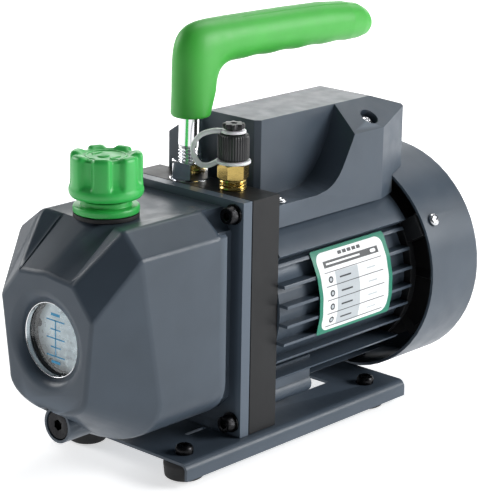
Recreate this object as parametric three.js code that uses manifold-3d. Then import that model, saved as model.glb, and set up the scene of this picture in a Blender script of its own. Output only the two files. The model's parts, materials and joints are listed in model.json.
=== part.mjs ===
// A portable rotary vane vacuum pump of the kind used on air conditioning systems.
//
// Millimetres, +Z up. X = 0 is the plane of the shaft, +X the side with the rating label.
// While the pieces are made, Y = 0 is the front face of the oil tank's flange, -Y is the
// end with the sight glass and +Y the end with the cooling fan. The whole pump is then
// shifted along Y so that the origin is at the middle of its base.

import * as THREE from "three";
import { mergeVertices, toCreasedNormals } from "three/addons/utils/BufferGeometryUtils.js";
import Module from "manifold-3d";

const wasm = await Module();
wasm.setup();

// ---------------------------------------------------------------- driving dimensions

const GAP = 0.25; // left between pieces that bear on each other
const AXIS_Z = 70; // height of the shaft
const TURN = 2 * Math.PI;

// base: a folded steel channel on four rubber feet
const BASE = { halfWidth: 47.5, front: -44, rear: 127, top: 11, lip: 2.2, sheet: 1.5, fold: 4 };
const WINDOW = { halfWidth: 20, front: 8, rear: 95.5 };
const SLOT = { from: 17.4, to: 19.8, front: -15, rear: -1 }; // the narrow one in front of the window
const FOOT = { x: 35, front: -33, rear: 108, floor: -1.2, radius: 10.3, wide: 10.9, bore: 2.8 };

// centre plate and the oil tank's flange in front of it
const PLATE = { halfWidth: 42, bottom: 11.2, top: 134, front: 6.9, rear: 26.5 };
const FLANGE = 6.2; // thickness of the tank's flange
const TANK_SCREW = { x: 36, low: 18.5, high: 127.5, shank: 2.45, head: 4.25, headLength: 5 };

// oil tank
const TANK_FACE = -92.5;
const TANK_WAIST = -12; // where the full section ends, in front of the flange
const TANK_HALF = 42.5;
const TANK_TOP = 129.6;
const SIGHT_Z = 75;
const DRAIN_Z = 30.5;
const DRAIN_FACE = -85.8;
const DRAIN_BOSS = 9.1; // radius of the boss round the drain plug
const FILLER_Y = -52.4;

// fittings on top of the centre plate
const HANDLE = { x: -11.6, y: 17.5, rod: 6 };
const INLET = { x: 18.1, y: 17.9 };

// motor
const HOUSING = { rear: 128, bore: 40, core: 43.5, fin: 49, shell: 53 };
const FIN = { highest: 26, pitch: 10.2, count: 8, thickness: 1.6, low: -30, lowRadius: 53.4 };
const COVER = { radius: 61.5, front: 130, rear: 171.3, sheet: 1.5, screwY: 138.5 };
const COVER_SCREW_ANGLES = [30, 150, 270];

// terminal box on top of the motor
const BOX = { top: 165.3, rearTop: 159.8, flat: 17.4, half: 36, slopeEnd: 152.8, bottom: 113.7, wall: 2.5 };
const BOX_Y = { shoulder: 27, front: 36.5, topRear: 125.5, sideRear: 115, rear: 142.4 };
const SWITCH = { y: 62, z: 134 };
const SOCKET = { y: 97, z: 133 };

// ---------------------------------------------------------------- finishes

function finish(color, roughness, metalness) {
  return new THREE.MeshStandardMaterial({ color, roughness, metalness });
}

const FINISH = {
  slate: finish(0x66707c, 0.45, 0.35),
  blackMetal: finish(0x26282b, 0.4, 0.5),
  green: finish(0x46c83c, 0.5, 0),
  chrome: finish(0xd8dadc, 0.12, 1),
  steel: finish(0x9a9da0, 0.3, 1),
  brass: finish(0xd0a84c, 0.25, 1),
  rubber: finish(0x17181a, 0.8, 0),
  blackPlastic: finish(0x1c1d1f, 0.5, 0),
  whitePlastic: finish(0xf0f1f2, 0.5, 0),
  glass: finish(0xd6eef6, 0.05, 0),
  iron: finish(0x55585c, 0.6, 0.8),
  copper: finish(0xb8693a, 0.4, 0.9),
  label: finish(0xeef0f1, 0.4, 0),
};

// ---------------------------------------------------------------- solids and booleans

// The manifold-3d solid of a closed geometry, whichever way round its faces were listed.
function toSolid(shape) {
  if (!shape.isBufferGeometry) return shape;
  const bare = shape.clone();
  bare.deleteAttribute("normal");
  bare.deleteAttribute("uv");
  const merged = mergeVertices(bare, 1e-4);
  const corners = merged.index.array;
  const points = merged.attributes.position;
  const at = (i) => new THREE.Vector3().fromBufferAttribute(points, i);
  const faces = [];
  let volume = 0;
  for (let i = 0; i < corners.length; i += 3) {
    const [a, b, c] = corners.slice(i, i + 3);
    if (a === b || b === c || c === a) continue;
    faces.push([a, b, c]);
    volume += at(a).dot(at(b).cross(at(c)));
  }
  if (volume < 0) faces.forEach((face) => face.reverse());
  const vertProperties = new Float32Array(points.array);
  const triVerts = new Uint32Array(faces.flat());
  return new wasm.Manifold(new wasm.Mesh({ numProp: 3, vertProperties, triVerts }));
}

function toGeometry(solid) {
  const mesh = solid.getMesh();
  const geometry = new THREE.BufferGeometry();
  geometry.setAttribute("position", new THREE.BufferAttribute(mesh.vertProperties, 3));
  geometry.setIndex(new THREE.BufferAttribute(mesh.triVerts, 1));
  return toCreasedNormals(geometry, Math.PI / 5);
}

const join = (...shapes) => shapes.map(toSolid).reduce((a, b) => a.add(b));
const cut = (body, ...tools) => tools.map(toSolid).reduce((a, b) => a.subtract(b), toSolid(body));
const overlap = (a, b) => toSolid(a).intersect(toSolid(b));

// ---------------------------------------------------------------- basic forms

// A body turned about +Z from [radius, height] pairs that run up the outside.
function turned(profile, segments = 32) {
  const points = profile.map(([radius, height]) => new THREE.Vector2(radius, height));
  return new THREE.LatheGeometry(points, segments).rotateX(Math.PI / 2);
}

function rod(radius, from, to, segments = 24) {
  return turned([[0, from], [radius, from], [radius, to], [0, to]], segments);
}

function ring(inner, outer, from, to, segments = 28) {
  return turned([[inner, from], [outer, from], [outer, to], [inner, to], [inner, from]], segments);
}

// The same forms with +Z laid along another axis.
const alongY = (geometry) => geometry.rotateX(-Math.PI / 2);
const alongX = (geometry) => geometry.rotateY(Math.PI / 2);

function box([x0, y0, z0], [x1, y1, z1]) {
  const geometry = new THREE.BoxGeometry(x1 - x0, y1 - y0, z1 - z0);
  return geometry.translate((x0 + x1) / 2, (y0 + y1) / 2, (z0 + z1) / 2);
}

// A straight prism of an outline [[a, b], ...] or a THREE.Shape.
function prism(outline, length, curveSegments = 12) {
  const isShape = outline instanceof THREE.Shape;
  const shape = isShape ? outline : new THREE.Shape(outline.map((pair) => new THREE.Vector2(...pair)));
  return new THREE.ExtrudeGeometry(shape, { depth: length, bevelEnabled: false, curveSegments });
}

// A prism whose outline is drawn in X and Z and whose length runs from y0 to y1.
function prismY(outline, y0, y1, curveSegments) {
  return prism(outline, y1 - y0, curveSegments).rotateX(Math.PI / 2).translate(0, y1, 0);
}

function hexagon(acrossFlats, from, to, turn = 0) {
  const radius = acrossFlats / Math.sqrt(3);
  return turned([[0, from], [radius, from], [radius, to], [0, to]], 6).rotateZ(turn);
}

// A closed body through rings of [x, y, z] points, all with the same count.
function loft(rings) {
  const count = rings[0].length;
  const vertices = rings.flat();
  const faces = [];
  for (let r = 0; r + 1 < rings.length; r++) {
    for (let i = 0; i < count; i++) {
      const a = r * count + i;
      const b = r * count + ((i + 1) % count);
      faces.push(a, b, b + count, a, b + count, a + count);
    }
  }
  for (const [ringIndex, first, second] of [[0, 1, 0], [rings.length - 1, 0, 1]]) {
    const middle = [0, 1, 2].map((k) => rings[ringIndex].reduce((sum, p) => sum + p[k], 0) / count);
    vertices.push(middle);
    for (let i = 0; i < count; i++) {
      const edge = [ringIndex * count + i, ringIndex * count + ((i + 1) % count)];
      faces.push(edge[first], edge[second], vertices.length - 1);
    }
  }
  const geometry = new THREE.BufferGeometry();
  const positions = new Float32Array(vertices.flat());
  geometry.setAttribute("position", new THREE.BufferAttribute(positions, 3));
  geometry.setIndex(faces);
  return geometry;
}

// A full ring from the points of its +X half, listed from the top middle to the bottom middle.
function mirrored(half) {
  const otherSide = half.slice(1, -1).reverse().map(([x, y, z]) => [-x, y, z]);
  return [...half, ...otherSide];
}

// A bar of round or oval section along a curve in a plane of constant X.
function bar(curve, steps, sectionAt, sides = 16) {
  const rings = [];
  for (let i = 0; i <= steps; i++) {
    const centre = curve.getPointAt(i / steps);
    const tangent = curve.getTangentAt(i / steps);
    const across = sectionAt(i / steps);
    const points = [];
    for (let k = 0; k < sides; k++) {
      const angle = (TURN * k) / sides;
      const inPlane = across.height * Math.sin(angle);
      points.push([
        centre.x + across.width * Math.cos(angle),
        centre.y - tangent.z * inPlane,
        centre.z + tangent.y * inPlane,
      ]);
    }
    rings.push(points);
  }
  return loft(rings);
}

// ---------------------------------------------------------------- assembly

const pump = new THREE.Group();

function add(name, shape, material, [x, y, z] = [0, 0, 0]) {
  const mesh = new THREE.Mesh(toGeometry(toSolid(shape)), material);
  mesh.name = name;
  mesh.position.set(x, y, z);
  pump.add(mesh);
  return mesh;
}

// ---------------------------------------------------------------- base and feet

function channelOutline() {
  const { halfWidth, top, lip, sheet, fold } = BASE;
  const bend = halfWidth - fold;
  const shape = new THREE.Shape();
  shape.moveTo(halfWidth, lip);
  shape.lineTo(halfWidth, top - fold);
  shape.absarc(bend, top - fold, fold, 0, Math.PI / 2, false);
  shape.absarc(-bend, top - fold, fold, Math.PI / 2, Math.PI, false);
  shape.lineTo(-halfWidth, lip);
  shape.lineTo(-halfWidth + sheet, lip);
  shape.absarc(-bend, top - fold, fold - sheet, Math.PI, Math.PI / 2, true);
  shape.absarc(bend, top - fold, fold - sheet, Math.PI / 2, 0, true);
  shape.lineTo(halfWidth - sheet, lip);
  shape.closePath();
  return shape;
}

const footPlaces = [];
for (const [end, y] of [["front", FOOT.front], ["rear", FOOT.rear]]) {
  for (const [side, x] of [["right", FOOT.x], ["left", -FOOT.x]]) {
    footPlaces.push({ name: `${end}_${side}`, place: [x, y, 0] });
  }
}

function basePlate() {
  const { top, sheet } = BASE;
  const channel = prismY(channelOutline(), BASE.front, BASE.rear, 6);
  const window = box([-WINDOW.halfWidth, WINDOW.front, 0], [WINDOW.halfWidth, WINDOW.rear, top + 1]);
  const slot = box([SLOT.from, SLOT.front, top - sheet - 1], [SLOT.to, SLOT.rear, top + 1]);
  const holes = footPlaces.map(({ place: [x, y] }) =>
    rod(FOOT.bore, top - sheet - 1, top + 1, 16).translate(x, y, 0));
  return cut(channel, window, slot, ...holes);
}

function foot() {
  const { floor, radius, wide, bore } = FOOT;
  const top = BASE.top - BASE.sheet - GAP;
  const outside = [[0, floor], [radius - 1.4, floor], [radius, floor + 1.6], [wide, top - 2.6]];
  return turned([...outside, [wide - 1.8, top], [bore, top], [bore, 3], [0, 3]], 20);
}

function footScrew() {
  const shank = FOOT.bore - 0.3;
  const seat = BASE.top + GAP;
  const head = [[4.6, seat], [4.6, seat + 3], [3.4, seat + 4.4], [0, seat + 4.4]];
  return turned([[0, 3.5], [shank, 3.5], [shank, seat], ...head], 16);
}

add("base_plate", basePlate(), FINISH.slate);
for (const { name, place } of footPlaces) {
  add(`foot_${name}`, foot(), FINISH.rubber, place);
  add(`foot_screw_${name}`, footScrew(), FINISH.blackMetal, place);
}

// ---------------------------------------------------------------- oil tank

// One ring of the tank: flat land, ridge, shoulder and hip of the +X half, then a round belly.
function tankRing({ crown, land, ridge, shoulder, hip, belly }) {
  const upper = [crown, [land[0] / 2, (crown[1] + land[1]) / 2, (crown[2] * 0.4 + land[2] * 0.6)]];
  const lower = [];
  const steps = 10;
  const fullness = 0.88; // 1 for an ellipse, less for a squarer belly
  for (let i = 1; i <= steps; i++) {
    const angle = (Math.PI / 2) * (i / steps);
    const x = hip[0] * Math.cos(angle) ** fullness;
    const y = hip[1] + (belly[1] - hip[1]) * (i / steps);
    const z = hip[2] - (hip[2] - belly[2]) * Math.sin(angle) ** fullness;
    lower.push([i === steps ? 0 : x, y, z]);
  }
  return mirrored([...upper, land, ridge, shoulder, hip, ...lower]);
}

function tankBody() {
  const face = tankRing({
    crown: [0, TANK_FACE, 109.3],
    land: [18.2, TANK_FACE, 107.2],
    ridge: [19.2, TANK_FACE, 106.8],
    shoulder: [32.3, TANK_FACE, 91.5],
    hip: [27.2, TANK_FACE, 54],
    belly: [0, TANK_FACE, 40],
  });
  const full = {
    crown: [0, -65, TANK_TOP],
    land: [18, -65, TANK_TOP],
    ridge: [28.5, -68.5, TANK_TOP + 1.4],
    shoulder: [TANK_HALF, -70.3, 119.5],
    hip: [TANK_HALF, -57.5, 45],
    belly: [0, -64, 20],
  };
  const waist = Object.fromEntries(
    Object.entries(full).map(([corner, [x, , z]]) => [corner, [x, TANK_WAIST, z]]));
  return loft([face, tankRing(full), tankRing(waist)]);
}

// The narrower neck that joins the tank to its flange and leaves room for the screws.
function tankNeck() {
  const half = [[0, TANK_TOP], [28, TANK_TOP], [34, 119], [34, 32], [26, 24], [0, 20]];
  const otherSide = half.slice(1, -1).reverse().map(([x, z]) => [-x, z]);
  return prismY([...half, ...otherSide], TANK_WAIST - 2, 1);
}

function tankScrewPlaces() {
  const places = [];
  for (const [level, z] of [["upper", TANK_SCREW.high], ["lower", TANK_SCREW.low]]) {
    for (const [side, x] of [["right", TANK_SCREW.x], ["left", -TANK_SCREW.x]]) {
      places.push({ name: `${level}_${side}`, place: [x, 0, z] });
    }
  }
  return places;
}

// A tapered hollow that stays open at the back, where the centre plate closes it.
function tankHollow() {
  const section = (y, half, low, high, cornerX, cornerZ) => mirrored([
    [0, y, high],
    [half - cornerX, y, high],
    [half, y, high - cornerX],
    [half, y, low + cornerZ],
    [half - cornerX, y, low],
    [0, y, low],
  ]);
  return loft([
    section(-75.5, 20, 48, 100, 8, 10),
    section(-62, 29.5, 27, 124, 12, 18),
    section(FLANGE + 1, 29.5, 27, 124, 12, 18),
  ]);
}

function oilTank() {
  const { halfWidth, bottom, top } = PLATE;
  const flange = box([-halfWidth, 0, bottom], [halfWidth, FLANGE, top]);
  const drainBoss = alongY(rod(DRAIN_BOSS, DRAIN_FACE, -56, 32)).translate(0, 0, DRAIN_Z);
  const drainRoom = alongY(rod(DRAIN_BOSS + 1.6, TANK_FACE - 1, DRAIN_FACE + 3, 32));
  const shell = cut(tankBody(), drainRoom.translate(0, 0, DRAIN_Z));
  const solid = join(shell, tankNeck(), flange, drainBoss);
  const screwRoom = tankScrewPlaces().map(({ place: [x, , z] }) =>
    alongY(rod(8.6, TANK_WAIST - 4, 0, 24)).translate(x, 0, z));
  const screwHoles = tankScrewPlaces().map(({ place: [x, , z] }) =>
    alongY(rod(TANK_SCREW.shank + 0.3, -1, FLANGE + 1, 16)).translate(x, 0, z));
  const eyeSteps = [[0, -95], [25.4, -95], [24.2, TANK_FACE], [19.2, -89.8], [19.2, -79]];
  const eye = alongY(turned([...eyeSteps, [15.6, -79], [15.6, -70], [0, -70]], 36));
  const drainSteps = [[0, -95], [7.7, -95], [7.7, -83.3], [5.6, -83.3], [5.6, -50], [0, -50]];
  const drainBore = alongY(turned(drainSteps));
  const filler = rod(11, 115, TANK_TOP + 3, 32).translate(0, FILLER_Y, 0);
  const fillerSeat = rod(18.4, TANK_TOP, TANK_TOP + 3, 32).translate(0, FILLER_Y, 0);
  return cut(solid, tankHollow(), ...screwRoom, ...screwHoles,
    eye.translate(0, 0, SIGHT_Z), drainBore.translate(0, 0, DRAIN_Z), filler, fillerSeat);
}

function tankScrew() {
  const { shank, head, headLength } = TANK_SCREW;
  const washer = [[0, 18], [shank, 18], [shank, -GAP], [5.2, -GAP], [5.2, -1.25], [head, -1.25]];
  const top = [[head, -1.25 - headLength], [0, -1.25 - headLength]];
  const body = alongY(turned([...washer, ...top], 24));
  const socket = alongY(hexagon(4, -8, -3.6));
  return cut(body, socket);
}

function tankGasket() {
  const { halfWidth, bottom, top } = PLATE;
  const sheet = box([-halfWidth + 0.6, FLANGE + 0.1, bottom + 0.6],
    [halfWidth - 0.6, PLATE.front - 0.1, top - 0.6]);
  const opening = box([-29, 0, 28], [29, 10, 123]);
  const holes = tankScrewPlaces().map(({ place: [x, , z] }) =>
    alongY(rod(TANK_SCREW.shank + 0.3, 0, 10, 16)).translate(x, 0, z));
  return cut(sheet, opening, ...holes);
}

add("oil_tank", oilTank(), FINISH.slate);
add("tank_gasket", tankGasket(), FINISH.rubber);
for (const { name, place } of tankScrewPlaces()) {
  add(`tank_screw_${name}`, tankScrew(), FINISH.blackMetal, place);
}

// ---------------------------------------------------------------- sight glass

// The disc behind the glass, with notches in its rim that let the oil in front of it.
function sightReflector() {
  const notches = 5;
  const disc = rod(18.6, 79.25, 80.1, 40);
  const tools = [];
  for (let i = 0; i < notches; i++) {
    const angle = THREE.MathUtils.degToRad(97) + (TURN * i) / notches;
    tools.push(rod(2.2, 78, 82, 14).translate(17.2 * Math.cos(angle), 17.2 * Math.sin(angle), 0));
  }
  return cut(disc, ...tools).rotate([90, 0, 0]);
}

function sightGlass() {
  const at = [0, 0, SIGHT_Z];
  const bezel = [[18.9, -86.4], [18.9, -88.6], [18.7, -88.9], [18.4, -88.9], [18.2, -88.6], [18.2, -86.4]];
  add("sight_glass_ring", alongY(turned([...bezel, bezel[0]], 48)), FINISH.chrome, at);
  add("sight_glass_lens", alongY(rod(18.6, -86.1, -83.5, 40)), FINISH.glass, at);
  add("sight_glass_seal", alongY(ring(17.3, 18.9, -83.2, -80.3, 40)), FINISH.rubber, at);
  add("sight_glass_reflector", sightReflector(), FINISH.whitePlastic, at);
}

sightGlass();

// ---------------------------------------------------------------- drain plug

function drainPlug() {
  const head = [[0, -85.4], [6.8, -85.4], [7.3, -84.9], [7.3, -84.1], [5.3, -84.1]];
  const body = alongY(turned([...head, [5.3, -71], [0, -71]], 32));
  return cut(body, alongY(hexagon(5, -89, -82.4)));
}

add("drain_plug", drainPlug(), FINISH.blackMetal, [0, 0, DRAIN_Z]);
add("drain_plug_seal", alongY(ring(5.6, 7.4, -83.95, -83.45, 32)), FINISH.rubber, [0, 0, DRAIN_Z]);

// ---------------------------------------------------------------- oil cap

function oilCap() {
  const lobes = 7;
  const stepsPerLobe = 8;
  const outline = [];
  for (let i = 0; i < lobes * stepsPerLobe; i++) {
    const angle = (TURN * i) / (lobes * stepsPerLobe);
    const wave = Math.tanh(2.4 * (Math.cos(lobes * angle) + 0.3));
    const radius = 16.5 + 1.3 * wave;
    outline.push([radius * Math.cos(angle), radius * Math.sin(angle)]);
  }
  const grip = prism(outline, 17.6).translate(0, 0, 144.2);
  const crown = turned([[0, 144], [17.9, 144], [17.9, 159.6], [16, 161.4], [0, 161.4]]);
  const skirt = turned([[0, 140], [17, 140], [18.3, 142.4], [18.3, 144.2], [17, 145.6], [0, 145.6]]);
  const dish = rod(11.6, 159.8, 163);
  const spigot = rod(7.7, 124, 141);
  const bore = rod(5.6, 123, 150, 16);
  return cut(join(overlap(grip, crown), skirt, spigot), dish, bore);
}

function fillerNeck() {
  const collar = [[10.7, 118], [10.7, 132.2], [16.3, 132.2], [16.3, 135.2], [15.6, 136], [12.6, 136]];
  return turned([[8.1, 118], ...collar, [12.6, 138.6], [8.1, 138.6], [8.1, 118]], 32);
}

const FILLER_PLACE = [0, FILLER_Y, 0];
add("oil_cap", oilCap(), FINISH.green, FILLER_PLACE);
add("oil_cap_seal", ring(8.2, 12.4, 138.8, 139.8), FINISH.rubber, FILLER_PLACE);
add("filler_neck", fillerNeck(), FINISH.green, FILLER_PLACE);
add("filler_gasket", ring(11.2, 16.4, TANK_TOP + 0.2, 132), FINISH.rubber, FILLER_PLACE);

// ---------------------------------------------------------------- centre plate

const FRONT_BEARING = { inner: 7.1, outer: 17, from: 16, to: PLATE.rear - 0.2 };

function centrePlate() {
  const { halfWidth, bottom, top, front, rear } = PLATE;
  const block = box([-halfWidth, front, bottom], [halfWidth, rear, top]);
  const shaftHole = alongY(rod(8, 0, rear + 1)).translate(0, 0, AXIS_Z);
  const bearingSeat = alongY(rod(FRONT_BEARING.outer + 0.1, 15.8, rear + 1, 28));
  const handleHole = rod(HANDLE.rod + 0.2, 118, top + 1, 16).translate(HANDLE.x, HANDLE.y, 0);
  const inletHole = rod(6.8, 119, top + 1, 24).translate(INLET.x, INLET.y, 0);
  const inletDuct = rod(2.5, 92, 120, 12).translate(INLET.x, INLET.y, 0);
  const screwHoles = tankScrewPlaces().map(({ place: [x, , z] }) =>
    alongY(rod(TANK_SCREW.shank + 0.1, 0, 19, 16)).translate(x, 0, z));
  return cut(block, shaftHole, bearingSeat.translate(0, 0, AXIS_Z), handleHole, inletHole,
    inletDuct, ...screwHoles);
}

add("centre_plate", centrePlate(), FINISH.blackMetal);

// ---------------------------------------------------------------- handle

// The grip in its own plane: a leg, an elbow that turns about a pivot inside the corner, a bar.
const GRIP = {
  bottom: 166.2, half: 10.2, width: 10.4, barWidth: 10.8, legReach: 36.7, barReach: 35.6, inner: 12,
};
const ELBOW = { y: 44.3, z: 179, steps: 8, squareness: 5 };
const GRIP_BAR = [
  { y: 84, middle: 202.4, half: 11.6 },
  { y: 115, middle: 201.8, half: 11.4 },
  { y: 134, middle: 200.8, half: 10.8 },
  { y: 145, middle: 199.8, half: 9.7 },
  { y: 151, middle: 198.8, half: 7.9 },
  { y: 154.6, middle: 198, half: 5.4 },
  { y: 156.3, middle: 197.6, half: 2.4 },
];

// A ring of the grip: the middle [y, z], the angle its inner side faces, and its half sizes.
function gripRing([y, z], angle, half, width, sides = 16) {
  const points = [];
  for (let k = 0; k < sides; k++) {
    const around = (TURN * k) / sides;
    const out = half * Math.sin(around);
    points.push([
      HANDLE.x + width * Math.cos(around),
      y - out * Math.cos(angle),
      z + out * Math.sin(angle),
    ]);
  }
  return points;
}

function handleRod(radius) {
  const { x, y } = HANDLE;
  const curve = new THREE.CatmullRomCurve3([
    new THREE.Vector3(x, y, 160),
    new THREE.Vector3(x, y + 1, 178),
    new THREE.Vector3(x, y + 3, 188),
    new THREE.Vector3(x, y + 9, 197.5),
    new THREE.Vector3(x, y + 20, 201.8),
    new THREE.Vector3(x, 84, 201.6),
    new THREE.Vector3(x, 129, 199.8),
  ], false, "centripetal");
  const round = () => ({ width: radius, height: radius });
  const lower = rod(radius, 121, 161, 12).translate(x, y, 0);
  return join(bar(curve, 18, round, 12), lower);
}

function handleGrip() {
  const { bottom, half: legHalf, legReach, barReach, inner, width, barWidth } = GRIP;
  const power = ELBOW.squareness;
  const rings = [
    gripRing([HANDLE.y + 0.3, bottom], 0, legHalf - 1, width - 1),
    gripRing([HANDLE.y + 0.3, bottom + 1.4], 0, legHalf, width),
  ];
  for (let i = 0; i <= ELBOW.steps; i++) {
    const angle = (Math.PI / 2) * (i / ELBOW.steps);
    const reach = (Math.cos(angle) / legReach) ** power + (Math.sin(angle) / barReach) ** power;
    const outer = reach ** (-1 / power);
    const middle = (outer + inner) / 2;
    const place = [ELBOW.y - middle * Math.cos(angle), ELBOW.z + middle * Math.sin(angle)];
    const wide = width + (barWidth - width) * (i / ELBOW.steps);
    rings.push(gripRing(place, angle, (outer - inner) / 2, wide));
  }
  for (const { y, middle, half } of GRIP_BAR) {
    rings.push(gripRing([y, middle], Math.PI / 2, half, Math.min(half, barWidth)));
  }
  return cut(loft(rings), handleRod(HANDLE.rod + 0.35));
}

function handleNut() {
  const bottom = PLATE.top + GAP;
  const top = bottom + 9.4;
  const hex = hexagon(18, bottom, top, THREE.MathUtils.degToRad(-14.5));
  const rounding = turned([[0, bottom], [10.2, bottom], [10.5, bottom + 0.6], [10.5, top - 1.2],
    [9.2, top], [0, top]], 32);
  return cut(overlap(hex, rounding), rod(HANDLE.rod + 0.2, 120, 160, 16));
}

add("handle_rod", handleRod(HANDLE.rod), FINISH.chrome);
add("handle_nut", handleNut(), FINISH.chrome, [HANDLE.x, HANDLE.y, 0]);
add("handle_grip", handleGrip(), FINISH.green);

// ---------------------------------------------------------------- inlet fitting and its cap

function inletFitting() {
  const hex = hexagon(14, 139.4, 147, 0.4);
  const thread = rod(6.6, 121, 136);
  const collar = rod(7.1, PLATE.top + GAP, 139.6);
  const neck = [[0, 146.8], [6, 146.8], [6, 148.8], [5.5, 149.2], [5.5, 156.2], [4.2, 158.2], [0, 158.2]];
  return cut(join(thread, collar, hex, turned(neck, 24)), rod(2.4, 120, 160, 16));
}

// A round cap with a star-shaped knob on a short stem that holds the strap's upper ring.
function inletCap() {
  const bodyProfile = [[0, 149.1], [7.6, 149.1], [8.1, 149.9], [8.1, 161.3], [7.2, 162.2], [0, 162.2]];
  const stem = rod(2.6, 162, 165.2, 16);
  const tips = 8;
  const points = [];
  for (let i = 0; i < 2 * tips; i++) {
    const radius = i % 2 ? 4.3 : 5.8;
    const angle = (Math.PI * i) / tips;
    points.push([radius * Math.cos(angle), radius * Math.sin(angle)]);
  }
  const star = prism(points, 2.9).translate(0, 0, 164.6);
  return cut(join(turned(bodyProfile, 32), stem, star), rod(5.75, 148, 159.8));
}

// A moulded strap: a ring round the fitting's neck, a loop, and a ring round the cap's stem.
const STRAP = { width: 3.4, thickness: 2.6, heading: 222 };

function tetherStrap() {
  const stations = [[7.6, 147.9], [12.5, 145.6], [17, 146.4], [19.7, 151], [19.9, 156.2],
    [16.6, 160.9], [11, 163.1], [5.4, 163.4]];
  const curve = new THREE.CatmullRomCurve3(
    stations.map(([reach, height]) => new THREE.Vector3(reach, 0, height)));
  const { width, thickness } = STRAP;
  const section = new THREE.Shape([
    new THREE.Vector2(-width / 2, -thickness / 2),
    new THREE.Vector2(width / 2, -thickness / 2),
    new THREE.Vector2(width / 2, thickness / 2),
    new THREE.Vector2(-width / 2, thickness / 2),
  ]);
  const loop = new THREE.ExtrudeGeometry(section, { steps: 16, extrudePath: curve })
    .rotateZ(THREE.MathUtils.degToRad(STRAP.heading));
  const lowerRing = ring(6.3, 9, 147.25, 148.85);
  const upperRing = ring(2.9, 6.4, 162.5, 164.2, 24);
  const hexRoom = rod(8.4, 139, 147.25);
  const capRoom = rod(8.4, 148.85, 162.5);
  const stemRoom = rod(2.9, 140, 170);
  return cut(join(loop, lowerRing, upperRing), hexRoom, capRoom, stemRoom);
}

const INLET_PLACE = [INLET.x, INLET.y, 0];
add("inlet_fitting", inletFitting(), FINISH.brass, INLET_PLACE);
add("inlet_cap", inletCap(), FINISH.blackPlastic, INLET_PLACE);
add("inlet_cap_seal", rod(5.3, 158.5, 159.5), FINISH.rubber, INLET_PLACE);
add("tether_strap", tetherStrap(), FINISH.whitePlastic, INLET_PLACE);

// ---------------------------------------------------------------- pump inside the tank

const CYLINDER = { radius: 27, front: -28, rear: PLATE.front - 0.2, bore: 20.2, drop: 3 };
const VANE_ROTOR = { radius: 17, front: -27.8, rear: PLATE.front - 0.5 };
const AXIS_PLACE = [0, 0, AXIS_Z];

function pumpCylinder() {
  const { radius, front, rear, bore, drop } = CYLINDER;
  const body = alongY(rod(radius, front, rear, 36));
  const chamber = alongY(rod(bore, front - 1, rear + 1, 36)).translate(0, 0, -drop);
  return cut(body, chamber);
}

function vaneRotor() {
  const { radius, front, rear } = VANE_ROTOR;
  const body = alongY(ring(6.1, radius, front, rear));
  const slots = [1, -1].map((side) => box([side > 0 ? 8 : -20, -60, -2.1], [side > 0 ? 20 : -8, 20, 2.1]));
  return cut(body, ...slots);
}

function vane() {
  return box([8.4, VANE_ROTOR.front + 0.2, -1.95], [VANE_ROTOR.radius - 0.2, VANE_ROTOR.rear - 0.2, 1.95]);
}

add("pump_cylinder", pumpCylinder(), FINISH.iron, AXIS_PLACE);
add("pump_end_plate", alongY(ring(6.2, CYLINDER.radius, -34, CYLINDER.front - 0.1)), FINISH.iron, AXIS_PLACE);
add("vane_rotor", vaneRotor(), FINISH.steel, AXIS_PLACE);
add("vane_1", vane(), FINISH.blackPlastic, AXIS_PLACE);
add("vane_2", vane().rotateY(Math.PI), FINISH.blackPlastic, AXIS_PLACE);

// ---------------------------------------------------------------- motor

function motorHousing() {
  const { rear, bore, core, fin, shell } = HOUSING;
  const front = PLATE.rear + GAP;
  const tube = alongY(rod(core, front, rear, 48));
  const cutAngle = THREE.MathUtils.degToRad(36);
  const arc = new THREE.Shape();
  arc.absarc(0, 0, shell, cutAngle, Math.PI - cutAngle, false);
  arc.absarc(0, 0, core - 1, Math.PI - cutAngle, cutAngle, true);
  const upperShell = prismY(arc, front, rear, 20);
  const fins = [];
  for (let i = 0; i < FIN.count; i++) {
    const z = FIN.highest - i * FIN.pitch;
    const tips = alongY(rod(z < FIN.low ? FIN.lowRadius : fin, front, rear, 56));
    const sheet = box([-60, front, z - FIN.thickness / 2], [60, rear, z + FIN.thickness / 2]);
    fins.push(overlap(tips, sheet));
  }
  const lugs = [1, -1].map((side) => join(
    alongY(rod(5, front, 66, 20)).translate(side * 27.5, 0, -49),
    box([side * 27.5 - 3.4, front, -49], [side * 27.5 + 3.4, 66, -33])));
  return cut(join(tube, upperShell, ...fins, ...lugs), alongY(rod(bore, 0, rear + 5, 48)));
}

const STATOR = { front: 50, rear: 105 };

function windings() {
  const { front, rear } = STATOR;
  return alongY(turned([[22.7, front - 11], [36, front - 11], [36, front - 0.4], [30.7, front - 0.4],
    [30.7, rear + 0.4], [36, rear + 0.4], [36, rear + 11], [22.7, rear + 11], [22.7, front - 11]], 32));
}

function motorShaft() {
  const journal = [[6, -35], [6, 7.5], [7, 8.5], [7, 140], [5, 141], [5, 166]];
  return alongY(turned([[0, -35], ...journal, [0, 166]], 32));
}

const REAR_BEARING = { outer: 15, from: 128.9, to: 137 };

// A disc with a bearing seat and three arms that carry the fan cover.
function rearEndShield() {
  const hub = alongY(rod(19, HOUSING.rear + GAP, 140, 28));
  const disc = alongY(rod(48, HOUSING.rear + GAP, 132.5, 40));
  const arms = COVER_SCREW_ANGLES.map((degrees) => {
    const arm = box([40, HOUSING.rear + 0.6, -6], [COVER.radius - COVER.sheet - 0.9, 144, 6]);
    const hole = alongX(rod(1.9, 50, 65, 12)).translate(0, COVER.screwY, 0);
    return cut(arm, hole).rotate([0, -degrees, 0]);
  });
  const bearingSeat = alongY(rod(REAR_BEARING.outer + 0.1, 100, 137.4, 28));
  const shaftHole = alongY(rod(8, 100, 150, 24));
  return cut(join(hub, disc, ...arms), bearingSeat, shaftHole);
}

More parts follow.
